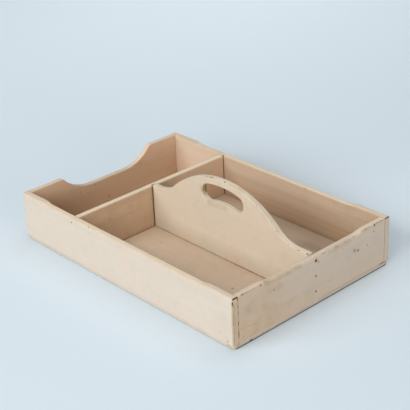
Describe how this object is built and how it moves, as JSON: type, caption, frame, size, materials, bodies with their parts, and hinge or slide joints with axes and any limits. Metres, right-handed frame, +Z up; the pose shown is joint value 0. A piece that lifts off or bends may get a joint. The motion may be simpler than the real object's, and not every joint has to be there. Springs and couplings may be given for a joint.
{
  "type": "knife tray",
  "caption": "Open wooden knife tray with a scooped end, a cross partition and a lengthways divider that rises into an arched carrying handle with a kidney-shaped hand hole.",
  "frame": {"origin": "on the table, under the middle of the tray", "axes": "+X along the length, away from the scooped end; +Y towards the back long side; +Z up"},
  "size_m": [0.44, 0.3, 0.1279],
  "materials": {
    "painted_wood": "worn matt oil paint over planed softwood",
    "painted_bottom": "rubbed matt oil paint over planed softwood",
    "nail_iron": "rusted and painted over"
  },
  "bodies": {
    "root": {"bottom_board": "painted_bottom", "front_side": "painted_wood", "back_side": "painted_wood", "left_end": "painted_wood", "right_end": "painted_wood", "cross_partition": "painted_wood", "handle_divider": "painted_wood", "front_left_corner_nails": "nail_iron", "front_right_corner_nails": "nail_iron", "back_left_corner_nails": "nail_iron", "back_right_corner_nails": "nail_iron", "front_partition_nails": "nail_iron", "back_partition_nails": "nail_iron", "right_end_handle_nails": "nail_iron", "partition_handle_nails": "nail_iron", "front_bottom_nails": "nail_iron", "back_bottom_nails": "nail_iron", "left_bottom_nails": "nail_iron", "right_bottom_nails": "nail_iron", "partition_bottom_nails": "nail_iron", "handle_bottom_nails": "nail_iron"}
  },
  "joints": []
}
